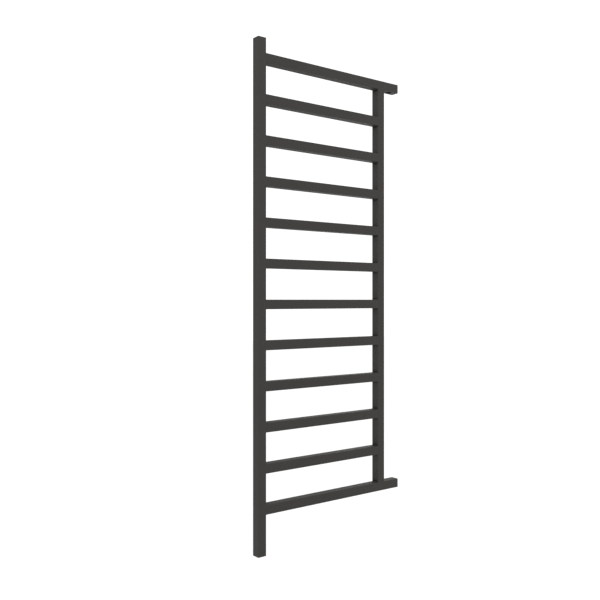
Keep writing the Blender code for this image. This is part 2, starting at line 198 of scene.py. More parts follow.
# Studio
FLOOR_SIZE = 14.0
FLOOR_BELOW = 0.25
FLOOR_DARK = (0.93, 0.93, 0.93)
FLOOR_LIGHT = (0.95, 0.95, 0.95)
WORLD_STRENGTH = 1.12
LAMPS = (                 # name, place from the rack's centre, side and power in watts
    ("key", (-1.0, -2.0, 1.8), 0.7, 15.0),
    ("fill", (1.8, -1.2, 1.2), 1.8, 2.0),
)

RUNG_COUNT = 12
SIDE_SOCKETS = {1: "spare_socket", RUNG_COUNT: "return_socket"}
BRACKETS = ("upper_left", "upper_right", "lower_left", "lower_right")
WALL_WAY = (0.0, 1.0, 0.0)


# ---------------------------------------------------------------- materials

def node_material(name):
    """A new material, its node tree and its shader."""
    made = bpy.data.materials.new(name)
    made.use_nodes = True
    tree = made.node_tree
    return made, tree, tree.nodes["Principled BSDF"]


def noise(tree, scale, detail=2.0, roughness=0.5):
    """Noise fixed to the object, as a value."""
    place = tree.nodes.new("ShaderNodeTexCoord")
    texture = tree.nodes.new("ShaderNodeTexNoise")
    texture.inputs["Scale"].default_value = scale
    texture.inputs["Detail"].default_value = detail
    texture.inputs["Roughness"].default_value = roughness
    tree.links.new(place.outputs["Object"], texture.inputs["Vector"])
    return texture.outputs["Fac"]


def spread(tree, value, low, high, low_from=0.3, high_from=0.7):
    """Stretch a texture's value to the range low to high."""
    stretch = tree.nodes.new("ShaderNodeMapRange")
    stretch.inputs["From Min"].default_value = low_from
    stretch.inputs["From Max"].default_value = high_from
    stretch.inputs["To Min"].default_value = low
    stretch.inputs["To Max"].default_value = high
    tree.links.new(value, stretch.inputs["Value"])
    return stretch.outputs["Result"]


def mix_colour(tree, factor, first, second):
    """Blend two colours, each given as numbers or as another node's output."""
    mix = tree.nodes.new("ShaderNodeMix")
    mix.data_type = "RGBA"
    tree.links.new(factor, mix.inputs["Factor"])
    for socket, colour in ((mix.inputs["A"], first), (mix.inputs["B"], second)):
        if isinstance(colour, tuple):
            socket.default_value = (*colour, 1.0)
        else:
            tree.links.new(colour, socket)
    return mix.outputs["Result"]


def add_bumps(tree, shader, layers):
    """Stack bumps of (texture value, depth in metres) on the shader's normal."""
    normal = None
    for value, depth in layers:
        bump = tree.nodes.new("ShaderNodeBump")
        bump.inputs["Strength"].default_value = 1.0
        bump.inputs["Distance"].default_value = depth
        tree.links.new(value, bump.inputs["Height"])
        if normal is not None:
            tree.links.new(normal, bump.inputs["Normal"])
        normal = bump.outputs["Normal"]
    tree.links.new(normal, shader.inputs["Normal"])


def edge_mask(tree, radius, low=0.90, high=0.995):
    """1 along convex edges and 0 on flats, from how far a rounded normal leans from the true one."""
    rounded = tree.nodes.new("ShaderNodeBevel")
    rounded.samples = 6
    rounded.inputs["Radius"].default_value = radius
    true_normal = tree.nodes.new("ShaderNodeNewGeometry")
    lean = tree.nodes.new("ShaderNodeVectorMath")
    lean.operation = "DOT_PRODUCT"
    tree.links.new(rounded.outputs["Normal"], lean.inputs[0])
    tree.links.new(true_normal.outputs["Normal"], lean.inputs[1])
    return spread(tree, lean.outputs["Value"], 1.0, 0.0, low, high)


def painted_highlight_mask(tree, low, high):
    """1 on the rounded long edges of a square tube and 0 on its flats, from the object's own normal; it
    places a painted highlight along those edges.
    """
    place = tree.nodes.new("ShaderNodeTexCoord")
    size = tree.nodes.new("ShaderNodeVectorMath")
    size.operation = "ABSOLUTE"
    tree.links.new(place.outputs["Normal"], size.inputs[0])
    parts = tree.nodes.new("ShaderNodeSeparateXYZ")
    tree.links.new(size.outputs["Vector"], parts.inputs["Vector"])
    largest = parts.outputs["X"]
    for axis in ("Y", "Z"):
        greater = tree.nodes.new("ShaderNodeMath")
        greater.operation = "MAXIMUM"
        tree.links.new(largest, greater.inputs[0])
        tree.links.new(parts.outputs[axis], greater.inputs[1])
        largest = greater.outputs["Value"]
    return spread(tree, largest, 1.0, 0.0, low, high)


def scaled(tree, value, factor):
    """A value times a number."""
    times = tree.nodes.new("ShaderNodeMath")
    times.operation = "MULTIPLY"
    times.inputs[1].default_value = factor
    tree.links.new(value, times.inputs[0])
    return times.outputs["Value"]


def painted_shade_mask(tree, reach, low, high):
    """Painted shade: 1 deep in an inside corner, where shade falls, and 0 in the open."""
    closed_in = tree.nodes.new("ShaderNodeAmbientOcclusion")
    closed_in.samples = 12
    closed_in.inputs["Distance"].default_value = reach
    return spread(tree, closed_in.outputs["AO"], 1.0, 0.0, low, high)


def powder_coat(name, seed, square):
    """Satin anthracite powder coat: orange peel, a fine grain, thin along the edges, a painted highlight
    along the rounded long edges of square tubes and painted shade in the inside corners.
    """
    made, tree, shader = node_material(name)
    shader.inputs["Specular IOR Level"].default_value = 0.06
    drift = noise(tree, 7.0 + seed, 3.0)
    cloud = noise(tree, 90.0, 4.0)
    grain = noise(tree, 1500.0, 2.0, 0.6)
    body = mix_colour(tree, spread(tree, drift, 0.0, 1.0), COAT_DARK, COAT_LIGHT)
    clouded = mix_colour(tree, spread(tree, cloud, 0.0, 0.35), body, COAT_CLOUD)
    flecked = mix_colour(tree, spread(tree, grain, 0.0, 0.45, 0.45, 0.75), clouded, COAT_FLECK)
    pitted = mix_colour(tree, spread(tree, grain, 0.55, 0.0, 0.25, 0.45), flecked, COAT_PIT)
    worn = scaled(tree, edge_mask(tree, 0.0010), 0.35)
    edged = mix_colour(tree, worn, pitted, COAT_EDGE)
    # Painted highlight: the rounded long edges of a square tube are coloured lighter.
    if square:
        edged = mix_colour(tree, scaled(tree, painted_highlight_mask(tree, 0.75, 0.97), 0.30), edged, COAT_PAINTED_HIGHLIGHT)
    # Painted shade: the coat is darkened in inside corners by how closed in they are.
    corner = painted_shade_mask(tree, 0.011, 0.5, 0.92)
    tree.links.new(mix_colour(tree, corner, edged, COAT_PAINTED_SHADE), shader.inputs["Base Color"])
    tree.links.new(spread(tree, cloud, 0.48, 0.58), shader.inputs["Roughness"])
    add_bumps(tree, shader, [(noise(tree, 420.0, 1.0), 0.00012), (grain, 0.00005)])
    return made


def plated(name, dark, light, rough_low, rough_high, lathe_scale):
    """Plated metal with fine turning marks round it and faint handling stains."""
    made, tree, shader = node_material(name)
    shader.inputs["Metallic"].default_value = 1.0
    stain = noise(tree, 260.0, 4.0, 0.6)
    tree.links.new(mix_colour(tree, spread(tree, stain, 0.0, 1.0), dark, light), shader.inputs["Base Color"])
    tree.links.new(spread(tree, stain, rough_high, rough_low), shader.inputs["Roughness"])
    place = tree.nodes.new("ShaderNodeTexCoord")
    marks = tree.nodes.new("ShaderNodeTexWave")
    marks.wave_type = "BANDS"
    marks.bands_direction = "Y"
    marks.inputs["Scale"].default_value = lathe_scale
    marks.inputs["Distortion"].default_value = 0.6
    marks.inputs["Detail"].default_value = 2.0
    tree.links.new(place.outputs["Object"], marks.inputs["Vector"])
    add_bumps(tree, shader, [(marks.outputs["Fac"], 0.000004), (noise(tree, 1800.0), 0.000004)])
    return made


def moulded(name, dark, light, roughness, grain_scale, grain_depth):
    """Moulded plastic, nylon or rubber with a spark-eroded grain."""
    made, tree, shader = node_material(name)
    tone = noise(tree, 180.0, 3.0)
    grain = noise(tree, grain_scale, 3.0, 0.7)
    tree.links.new(mix_colour(tree, spread(tree, tone, 0.0, 1.0), dark, light), shader.inputs["Base Color"])
    tree.links.new(spread(tree, grain, roughness - 0.06, roughness + 0.06), shader.inputs["Roughness"])
    add_bumps(tree, shader, [(grain, grain_depth)])
    return made


# ---------------------------------------------------------------- shapes

def new_piece(name, mesh, material, body, slot, *replaced):
    """Put a mesh into the scene as a piece that rides on a body."""
    item = bpy.data.objects.new(name, mesh)
    bpy.context.scene.collection.objects.link(item)
    mesh.materials.clear()
    mesh.materials.append(material)
    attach(item, body)
    if replaced:
        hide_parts(*replaced)
    return item


def finish_mesh(shape, name, angle=SHARP_ANGLE):
    """Turn the working mesh into a smooth-shaded one whose sharp edges stay sharp."""
    bmesh.ops.recalc_face_normals(shape, faces=shape.faces)
    mesh = bpy.data.meshes.new(name)
    shape.to_mesh(mesh)
    shape.free()
    mesh.shade_smooth()
    mesh.set_sharp_from_angle(angle=math.radians(angle))
    return mesh


def bar(name, low, high, axis):
    """A square bar from low to high along an axis, with rounded long edges and soft end edges."""
    size = high - low
    middle = (high + low) / 2
    shape = bmesh.new()
    place = Matrix.Translation(middle) @ Matrix.Diagonal((*size, 1.0))
    bmesh.ops.create_cube(shape, size=1.0, matrix=place)
    half = size[axis] / 2
    long_edges = [
        edge for edge in shape.edges
        if abs(edge.verts[0].co[axis] - edge.verts[1].co[axis]) > half
    ]
    bmesh.ops.bevel(
        shape, geom=long_edges, offset=TUBE_CORNER, segments=TUBE_CORNER_STEPS,
        profile=0.5, affect="EDGES",
    )
    end_edges = []
    for edge in shape.edges:
        spots = [abs(vert.co[axis] - middle[axis]) for vert in edge.verts]
        if min(spots) > half * NEARLY_ALL and len(edge.link_faces) == 2:
            end_edges.append(edge)
    bmesh.ops.bevel(
        shape, geom=end_edges, offset=END_EDGE, segments=END_EDGE_STEPS,
        profile=0.5, affect="EDGES", clamp_overlap=True,
    )
    return finish_mesh(shape, name)


def aimed(centre, direction):
    """A placement that sends local +Z along the direction, from the centre."""
    turn = Vector((0.0, 0.0, 1.0)).rotation_difference(Vector(direction)).to_matrix().to_4x4()
    return Matrix.Translation(centre) @ turn


def skin_rings(shape, rings, closed=True):
    """Join each ring of vertices to the next, and the last to the first if the run is closed."""
    following = rings[1:] + rings[:1] if closed else rings[1:]
    for first, second in zip(rings, following):
        count = len(first)
        for index in range(count):
            after = (index + 1) % count
            shape.faces.new((first[index], second[index], second[after], first[after]))


def add_turned(shape, place, profile, closed=False, ribs=0, rib_depth=0.0, sides=ROUND_SIDES):
    """Add a turned shell; its profile is a list of (radius, height).

    Ribs cut grooves into its widest part.
    """
    widest = max(radius for radius, _ in profile)
    rings = []
    for radius, height in profile:
        if radius == 0.0:
            rings.append([shape.verts.new(place @ Vector((0.0, 0.0, height)))])
            continue
        ring = []
        for step in range(sides):
            turn = 2 * math.pi * step / sides
            ribbed = ribs and radius > widest - RIB_BAND
            groove = rib_depth * (0.5 - 0.5 * math.cos(turn * ribs)) if ribbed else 0.0
            reach = radius - groove
            spot = Vector((reach * math.cos(turn), reach * math.sin(turn), height))
            ring.append(shape.verts.new(place @ spot))
        rings.append(ring)
    pairs = list(zip(rings, rings[1:]))
    if closed:
        pairs.append((rings[-1], rings[0]))
    for upper, lower in pairs:
        for step in range(sides):
            after = (step + 1) % sides
            corners = [upper[step % len(upper)], lower[step % len(lower)]]
            if len(lower) > 1:
                corners.append(lower[after])
            if len(upper) > 1:
                corners.append(upper[after])
            shape.faces.new(corners)


def add_helix(shape, place, section, pitch, turns, start, sides=HELIX_SIDES):
    """Add one helical ridge that fades in and out; its section is a list of (radius, share of the pitch)."""
    steps = round(sides * turns)
    base = min(radius for radius, _ in section)
    if section[0][0] > section[len(section) // 2][0]:
        base = max(radius for radius, _ in section)
    rings = []
    for step in range(steps + 1):
        turn = 2 * math.pi * step / sides
        fade = min(1.0, step / (sides * 0.5), (steps - step) / (sides * 0.5))
        ring = []
        for radius, share in section:
            reach = base + (radius - base) * max(fade, 0.02)
            height = start + pitch * (step / sides + share)
            spot = Vector((reach * math.cos(turn), reach * math.sin(turn), height))
            ring.append(shape.verts.new(place @ spot))
        rings.append(ring)
    skin_rings(shape, rings, closed=False)
    shape.faces.new(rings[0])
    shape.faces.new(list(reversed(rings[-1])))


def ring_weld_mesh(name, centre, direction, radius):
    """The bead round a turned boss that is welded to a flat face."""
    shape = bmesh.new()
    place = aimed(centre, direction)
    leg = RING_WELD_LEG
    arc = []
    for index in range(WELD_PROFILE_STEPS + 1):
        share = index / WELD_PROFILE_STEPS
        sag = RING_WELD_SAG * leg * math.sin(math.pi * share)
        arc.append((radius - WELD_BURIED + leg * (1 - share) - sag, -WELD_BURIED + leg * share - sag))
    hidden = [
        (radius - 0.4 * leg, 0.8 * leg),
        (radius - 0.4 * leg, -GAP),
        (radius + 0.7 * leg, -GAP),
    ]
    rings = []
    for step in range(RING_WELD_SIDES):
        turn = 2 * math.pi * step / RING_WELD_SIDES
        ripple = RING_WELD_RIPPLE * math.sin(turn * RING_WELD_WAVES + 2.0 * math.sin(turn * 3.0))
        ring = []
        for index, (reach, height) in enumerate(arc + hidden):
            swell = ripple if 0 < index < WELD_PROFILE_STEPS else 0.0
            across = reach + swell
            spot = Vector((across * math.cos(turn), across * math.sin(turn), height + swell))
            ring.append(shape.verts.new(place @ spot))
        rings.append(ring)
    skin_rings(shape, rings)
    return finish_mesh(shape, name, 50.0)


def cut_round(item, centre, direction, radius, depth, chamfer, sides=HOLE_SIDES):
    """Cut a blind hole with a chamfered mouth; direction points out of the mouth."""
    shape = bmesh.new()
    stations = (
        (radius + 2 * chamfer, chamfer),
        (radius, -chamfer),
        (radius, -depth),
    )
    rings = []
    for ring_radius, height in stations:
        ring = []
        for step in range(sides):
            turn = 2 * math.pi * step / sides
            spot = (ring_radius * math.cos(turn), ring_radius * math.sin(turn), height)
            ring.append(shape.verts.new(spot))
        rings.append(ring)
    skin_rings(shape, rings, closed=False)
    shape.faces.new(rings[0])
    shape.faces.new(list(reversed(rings[-1])))
    bmesh.ops.recalc_face_normals(shape, faces=shape.faces)
    bmesh.ops.transform(shape, matrix=aimed(centre, direction), verts=shape.verts)
    mesh = bpy.data.meshes.new("hole")
    shape.to_mesh(mesh)
    shape.free()
    cutter = bpy.data.objects.new("hole", mesh)
    bpy.context.scene.collection.objects.link(cutter)
    cut = item.modifiers.new("hole", "BOOLEAN")
    cut.operation = "DIFFERENCE"
    cut.solver = "EXACT"
    cut.object = cutter
    bpy.context.view_layer.update()
    depsgraph = bpy.context.evaluated_depsgraph_get()
    solved = bpy.data.meshes.new_from_object(item.evaluated_get(depsgraph))
    item.modifiers.clear()
    item.data = solved
    bpy.data.objects.remove(cutter, do_unlink=True)
    solved.shade_smooth()
    solved.set_sharp_from_angle(angle=math.radians(SHARP_ANGLE))


def thread_mesh(name, centre, direction):
    """The inside thread of a G1/2 socket: one helical ridge from just inside the mouth."""
    shape = bmesh.new()
    section = (
        (THREAD_ROOT_R + THREAD_BURIED, 0.46),
        (THREAD_ROOT_R, 0.42),
        (THREAD_CREST_R, 0.08),
        (THREAD_CREST_R, -0.08),
        (THREAD_ROOT_R, -0.42),
        (THREAD_ROOT_R + THREAD_BURIED, -0.46),
    )
    start = -2 * SOCKET_CHAMFER - THREAD_PITCH * (THREAD_TURNS + 0.5)
    add_helix(shape, aimed(centre, direction), section, THREAD_PITCH, THREAD_TURNS, start)
    return finish_mesh(shape, name, 40.0)


def outline_of_square(half, corner):
    """Walk round a rounded square: for each step its point on the inner square and its outward normal."""
    inner_half = half - corner
    walk = []
    for quarter in range(4):
        turn = quarter * math.pi / 2
        ahead = Vector((math.cos(turn), math.sin(turn)))
        side = Vector((-ahead.y, ahead.x))
        for step in range(WELD_SIDE_STEPS):
            slide = -1 + 2 * step / WELD_SIDE_STEPS
            walk.append((ahead * inner_half + side * inner_half * slide, ahead))
        for step in range(WELD_CORNER_STEPS):
            share = step / WELD_CORNER_STEPS * math.pi / 2
            normal = ahead * math.cos(share) + side * math.sin(share)
            walk.append((ahead * inner_half + side * inner_half, normal))
    return walk


def weld_mesh(name, centre, out, across, half):
    """The weld round a square end that meets a tube's face.

    centre is the middle of the end. out points along the ending tube and away from the face. across is the
    side-to-side direction of the end. The third direction is front to back, where the weld is flush.
    """
    depth_way = Vector((0.0, 1.0, 0.0))
    shape = bmesh.new()
    rings = []
    for place, (inner, normal) in enumerate(outline_of_square(half, TUBE_CORNER)):
        # How much of a fillet there is here: all of it along the two sides, none at the front and back
        room = (half - TUBE_CORNER - abs(inner.y)) / WELD_FADE
        fade = max(0.0, min(1.0, room)) * normal.x ** 2
        fade = fade * fade * (3 - 2 * fade)
        flush = 1 - normal.x ** 2
        leg = WELD_LEG * max(fade, WELD_LEAST)
        ripple = WELD_RIPPLE * fade * math.sin(place * 1.9 + 2.0 * math.sin(place * 0.37))
        ring = []
        for index in range(WELD_PROFILE_STEPS + 1):
            share = index / WELD_PROFILE_STEPS
            # Fillet: a shallow bead from the face to the tube's skin
            hollow = WELD_SAG * leg * math.sin(math.pi * share) - ripple
            bead_along = leg * math.sin(math.pi / 2 * share) - WELD_BURIED - hollow
            bead_rise = leg * math.cos(math.pi / 2 * share) - WELD_BURIED - hollow
            # Flush fill: from inside the face's rounded corner to just past the end
            flush_along = -TUBE_CORNER - WELD_BURIED + (TUBE_CORNER + WELD_FLUSH_PAST) * share
            flush_rise = WELD_BURIED * (math.sin(math.pi * share) ** 0.5 - 1)
            along = (1 - flush) * bead_along + flush * flush_along
            rise = (1 - flush) * bead_rise + flush * flush_rise
            spot = inner + normal * (TUBE_CORNER + rise)
            ring.append(shape.verts.new(centre + out * along + across * spot.x + depth_way * spot.y))
        # The hidden side closes the bead inside both tubes
        root = inner + normal * (TUBE_CORNER - WELD_ROOT_IN)
        ring.append(shape.verts.new(centre + out * WELD_ROOT_OUT + across * root.x + depth_way * root.y))
        ring.append(shape.verts.new(centre - out * WELD_ROOT_BACK + across * root.x + depth_way * root.y))
        rings.append(ring)
    skin_rings(shape, rings)
    return finish_mesh(shape, name, 50.0)


# ---------------------------------------------------------------- the rack

def rung_name(number):
    """The node name of a rung, counted from the top."""
    return f"rung_{number:02d}"


def build_tubes(coat):
    """The posts and rungs, with their sockets; gives back the side of the tube."""
    left_low, left_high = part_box("left_post")
    right_low, right_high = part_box("right_post")
    tube_side = left_high.x - left_low.x

    post_mesh = bar("left_post_tube", left_low, left_high, 2)
    post = new_piece("left_post_tube", post_mesh, coat, "rack", "rack_coat",
                     "left_post", "left_post_top_cap", "left_post_socket")
    foot = Vector(((left_low.x + left_high.x) / 2, (left_low.y + left_high.y) / 2, left_low.z))
    cut_round(post, foot, (0, 0, -1), THREAD_ROOT_R, SOCKET_BORE_DEPTH, SOCKET_CHAMFER)
    thread = thread_mesh("left_post_thread", foot, (0, 0, -1))
    new_piece("left_post_thread", thread, coat, "rack", "rack_coat")

    sink = Vector((0.0, 0.0, SINK))
    post_mesh = bar("right_post_tube", right_low - sink, right_high + sink, 2)
    new_piece("right_post_tube", post_mesh, coat, "rack", "rack_coat", "right_post")

    for number in range(1, RUNG_COUNT + 1):
        name = rung_name(number)
        low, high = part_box(name)
        socket = SIDE_SOCKETS.get(number)
        low = low - Vector((SINK, 0.0, 0.0))
        if socket is None:
            high = high + Vector((SINK, 0.0, 0.0))
            hidden = [name]
        else:
            hidden = [name, name + "_end_cap", socket]
        tube_mesh = bar(name + "_tube", low, high, 0)
        tube = new_piece(name + "_tube", tube_mesh, coat, "rack", "rack_coat", *hidden)
        if socket is not None:
            socket_low, socket_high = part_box(socket)
            mouth_x = (socket_low.x + socket_high.x) / 2
            mouth_y = (socket_low.y + socket_high.y) / 2
            mouth = Vector((mouth_x, mouth_y, socket_low.z))
            cut_round(tube, mouth, (0, 0, -1), THREAD_ROOT_R, SOCKET_BORE_DEPTH, SOCKET_CHAMFER)
            thread = thread_mesh(socket + "_thread", mouth, (0, 0, -1))
            new_piece(socket + "_thread", thread, coat, "rack", "rack_coat")
    return tube_side


def build_welds(coat, tube_side):
    """One weld at each end that meets a post, and one at each end of the right post."""
    half = tube_side / 2
    left_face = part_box("left_post")[1].x
    right_low, right_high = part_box("right_post")
    middle_y = (right_low.y + right_high.y) / 2
    along = Vector((1.0, 0.0, 0.0))
    up = Vector((0.0, 0.0, 1.0))
    for number in range(1, RUNG_COUNT + 1):
        low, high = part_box(rung_name(number))
        height = (low.z + high.z) / 2
        name = f"weld_left_{number:02d}"
        mesh = weld_mesh(name, Vector((left_face, middle_y, height)), along, up, half)
        new_piece(name, mesh, coat, "rack", "rack_coat")
        if number not in SIDE_SOCKETS:
            name = f"weld_right_{number:02d}"
            mesh = weld_mesh(name, Vector((right_low.x, middle_y, height)), -along, up, half)
            new_piece(name, mesh, coat, "rack", "rack_coat")
    middle_x = (right_low.x + right_high.x) / 2
    top = Vector((middle_x, middle_y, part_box(rung_name(1))[0].z))
    bottom = Vector((middle_x, middle_y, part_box(rung_name(RUNG_COUNT))[1].z))
    for name, end, away in (("weld_right_post_top", top, -up), ("weld_right_post_bottom", bottom, up)):
        mesh = weld_mesh(name, end, away, along, half)
        new_piece(name, mesh, coat, "rack", "rack_coat")


def middle_of(node):
    """The middle of a CAD node's box."""
    low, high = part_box(node)
    return (low + high) / 2


def turned_piece(name, place, profile, material, body, slot, *replaced, angle=SHARP_ANGLE, **how):
    """A piece of one turned shell."""
    shape = bmesh.new()
    add_turned(shape, place, profile, **how)
    return new_piece(name, finish_mesh(shape, name, angle), material, body, slot, *replaced)


def build_boss(name, base, height, radius, looks):
    """The boss welded on the back of a rung; the stem screws into it."""
    turned_piece(name + "_boss_turning", aimed(base, WALL_WAY), [
        (0.0, height - BOSS_HOLE_DEPTH),
        (STEM_THREAD_R, height - BOSS_HOLE_DEPTH),
        (STEM_THREAD_R + GAP, height - FINE_EDGE),
        (STEM_THREAD_R + 2 * GAP, height),
        (radius - 0.0005, height),
        (radius - 0.00015, height - 0.00015),
        (radius, height - 0.0005),
        (radius, -GAP),
        (0.0, -GAP),
    ], looks["boss_coat"], "rack", "rack_coat", name + "_boss")
    weld = ring_weld_mesh(name + "_boss_weld", base, WALL_WAY, radius)
    new_piece(name + "_boss_weld", weld, looks["boss_coat"], "rack", "rack_coat")


def build_stem(name, base, boss_height, looks):
    """The zinc-plated pin: a collar, a groove above it and a chamfered end with a centre mark."""
    low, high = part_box(name + "_stem")
    collar_r = (high.x - low.x) / 2
    collar_low = boss_height + GAP
    collar_top = collar_low + STEM_FLANGE
    end = high.y - base.y
    turned_piece(name + "_stem_turning", aimed(base, WALL_WAY), [
        (0.0, end - 0.0006),
        (STEM_CENTRE_MARK_R - 0.0006, end - 0.0006),
        (STEM_CENTRE_MARK_R, end),
        (STEM_R - STEM_CHAMFER, end),
        (STEM_R, end - STEM_CHAMFER),
        (STEM_R, collar_top + 0.0013),
        (STEM_R - STEM_GROOVE, collar_top + 0.0009),
        (STEM_R - STEM_GROOVE, collar_top + 0.0004),
        (STEM_R + 0.0001, collar_top),
        (collar_r - 0.0006, collar_top),
        (collar_r - 0.0002, collar_top - 0.0002),
        (collar_r, collar_top - 0.0006),
        (collar_r, collar_low + FINE_EDGE),
        (collar_r - FINE_EDGE, collar_low),
        (STEM_THREAD_R, collar_low),
        (STEM_THREAD_R, boss_height - BOSS_HOLE_DEPTH + GAP),
        (0.0, boss_height - BOSS_HOLE_DEPTH + GAP),
    ], looks["zinc_plated_steel"], "rack", "zinc_plated_steel", name + "_stem", angle=25.0)


def build_sleeve(name, base, grub_y, looks):
    """The square sleeve on the wall, bored for the stem, the wall screw and the grub screw."""
    low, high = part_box(name + "_sleeve")
    shape = bmesh.new()
    place = Matrix.Translation((low + high) / 2) @ Matrix.Diagonal((*(high - low), 1.0))
    bmesh.ops.create_cube(shape, size=1.0, matrix=place)
    bmesh.ops.bevel(
        shape, geom=list(shape.edges), offset=SLEEVE_EDGE, segments=SLEEVE_EDGE_STEPS,
        profile=0.5, affect="EDGES",
    )
    mesh = finish_mesh(shape, name + "_sleeve_block")
    sleeve = new_piece(name + "_sleeve_block", mesh, looks["bracket_coat"],
                       name + "_wall_sleeve", "bracket_coat", name + "_sleeve")
    front = Vector((base.x, low.y, base.z))
    back = Vector((base.x, high.y, base.z))
    below = Vector((base.x, grub_y, low.z))
    cut_round(sleeve, front, (0, -1, 0), SLEEVE_BORE_R, SLEEVE_BORE_DEPTH, SLEEVE_BORE_CHAMFER)
    cut_round(sleeve, back, WALL_WAY, WALL_SCREW_R, WALL_SCREW_DEPTH, SMALL_HOLE_CHAMFER)
    cut_round(sleeve, below, (0, 0, -1), GRUB_HOLE_R, GRUB_HOLE_DEPTH, SMALL_HOLE_CHAMFER)


def build_grub_screw(name, looks):
    """A threaded grub screw with a hexagon socket, pointing up at the stem."""
    low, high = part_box(name + "_grub_screw")
    middle = middle_of(name + "_grub_screw")
    length = high.z - low.z
    place = aimed(Vector((middle.x, middle.y, high.z)), (0, 0, -1))
    screw = turned_piece(name + "_grub_screw_thread", place, [
        (0.0, length),
        (GRUB_ROOT_R - 0.0004, length),
        (GRUB_ROOT_R, length - 0.0003),
        (GRUB_ROOT_R, 0.0005),
        (GRUB_ROOT_R - 0.0005, 0.0),
        (0.0008, 0.0),
        (0.0, 0.0004),
    ], looks["zinc_plated_steel"], name + "_screw", "zinc_plated_steel", name + "_grub_screw",
        sides=GRUB_SIDES)
    key_mouth = Vector((middle.x, middle.y, low.z))
    cut_round(screw, key_mouth, (0, 0, -1), GRUB_KEY_R, GRUB_KEY_DEPTH, GRUB_KEY_CHAMFER, GRUB_KEY_SIDES)
    section = (
        (GRUB_ROOT_R - THREAD_BURIED, -0.44),
        (GRUB_ROOT_R, -0.40),
        (GRUB_CREST_R, -0.07),
        (GRUB_CREST_R, 0.07),
        (GRUB_ROOT_R, 0.40),
        (GRUB_ROOT_R - THREAD_BURIED, 0.44),
    )
    ridge = bmesh.new()
    ridge.from_mesh(screw.data)
    add_helix(ridge, place, section, GRUB_PITCH, length / GRUB_PITCH - 1.2, 0.6 * GRUB_PITCH,
              GRUB_HELIX_SIDES)
    bmesh.ops.recalc_face_normals(ridge, faces=ridge.faces)
    ridge.to_mesh(screw.data)
    ridge.free()
    screw.data.shade_smooth()
    screw.data.set_sharp_from_angle(angle=math.radians(SHARP_ANGLE))


def build_bracket(name, looks):
    """One wall bracket, placed from its CAD nodes."""
    boss_low, boss_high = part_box(name + "_boss")
    middle = middle_of(name + "_boss")
    base = Vector((middle.x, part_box(rung_name(1))[1].y, middle.z))
    boss_height = boss_high.y - base.y
    build_boss(name, base, boss_height, (boss_high.x - boss_low.x) / 2, looks)
    build_stem(name, base, boss_height, looks)
    build_sleeve(name, base, middle_of(name + "_grub_screw").y, looks)
    build_grub_screw(name, looks)


def build_vent_seat(base, looks):
    """The parts of the air vent that don't move: its boss, O-ring and body."""
    place = aimed(base, WALL_WAY)
    turned_piece("vent_boss_turning", place, [
        (VENT_TAPPED_R, VENT_BOSS_TOP - 0.0002),
        (VENT_TAPPED_R + 0.0002, VENT_BOSS_TOP),
        (VENT_BOSS_R - 0.0006, VENT_BOSS_TOP),
        (VENT_BOSS_R - 0.00015, VENT_BOSS_TOP - 0.0002),
        (VENT_BOSS_R, VENT_BOSS_TOP - 0.0006),
        (VENT_BOSS_R, -GAP),
        (VENT_TAPPED_R, -GAP),
    ], looks["boss_coat"], "rack", "rack_coat", "vent_boss", closed=True)
    weld = ring_weld_mesh("vent_boss_weld", base, WALL_WAY, VENT_BOSS_R)
    new_piece("vent_boss_weld", weld, looks["boss_coat"], "rack", "rack_coat")

    ring_height = (VENT_BOSS_TOP + VENT_FLANGE_LOW) / 2
    section = []
    for step in range(O_RING_STEPS):
        turn = 2 * math.pi * step / O_RING_STEPS
        reach = O_RING_R + O_RING_SECTION_R * math.cos(turn)
        section.append((reach, ring_height + O_RING_SECTION_R * math.sin(turn)))
    turned_piece("vent_seal_ring", place, section, looks["rubber"], "rack", "rubber", "vent_o_ring",
                 angle=60.0, closed=True)

    turned_piece("vent_body_turning", place, [
        (VENT_BORE_R, VENT_TOP - FINE_EDGE),
        (VENT_BORE_R + FINE_EDGE, VENT_TOP),
        (VENT_LIP_R - 0.0004, VENT_TOP),
        (VENT_LIP_R - 0.0001, VENT_TOP - 0.0001),
        (VENT_LIP_R, VENT_TOP - FINE_EDGE),
        (VENT_LIP_R, VENT_LIP_LOW),
        (VENT_NECK_R, VENT_LIP_LOW),
        (VENT_NECK_R, VENT_FLANGE_HIGH),
        (VENT_FLANGE_R - 0.0004, VENT_FLANGE_HIGH),
        (VENT_FLANGE_R - 0.0001, VENT_FLANGE_HIGH - 0.0001),
        (VENT_FLANGE_R, VENT_FLANGE_HIGH - 0.0004),
        (VENT_FLANGE_R, VENT_FLANGE_LOW + FINE_EDGE),
        (VENT_FLANGE_R - 0.0002, VENT_FLANGE_LOW),
        (VENT_THREAD_R, VENT_FLANGE_LOW),
        (VENT_THREAD_R, FINE_EDGE - VENT_INNER_END),
        (VENT_THREAD_R - FINE_EDGE, -VENT_INNER_END),
        (VENT_SEAT_R, -VENT_INNER_END),
        (VENT_SEAT_R, VENT_SEAT_LOW),
        (VENT_BORE_R, VENT_SEAT_HIGH),
    ], looks["nickel_plated_brass"], "rack", "nickel_plated_brass", "vent_body", angle=25.0, closed=True)


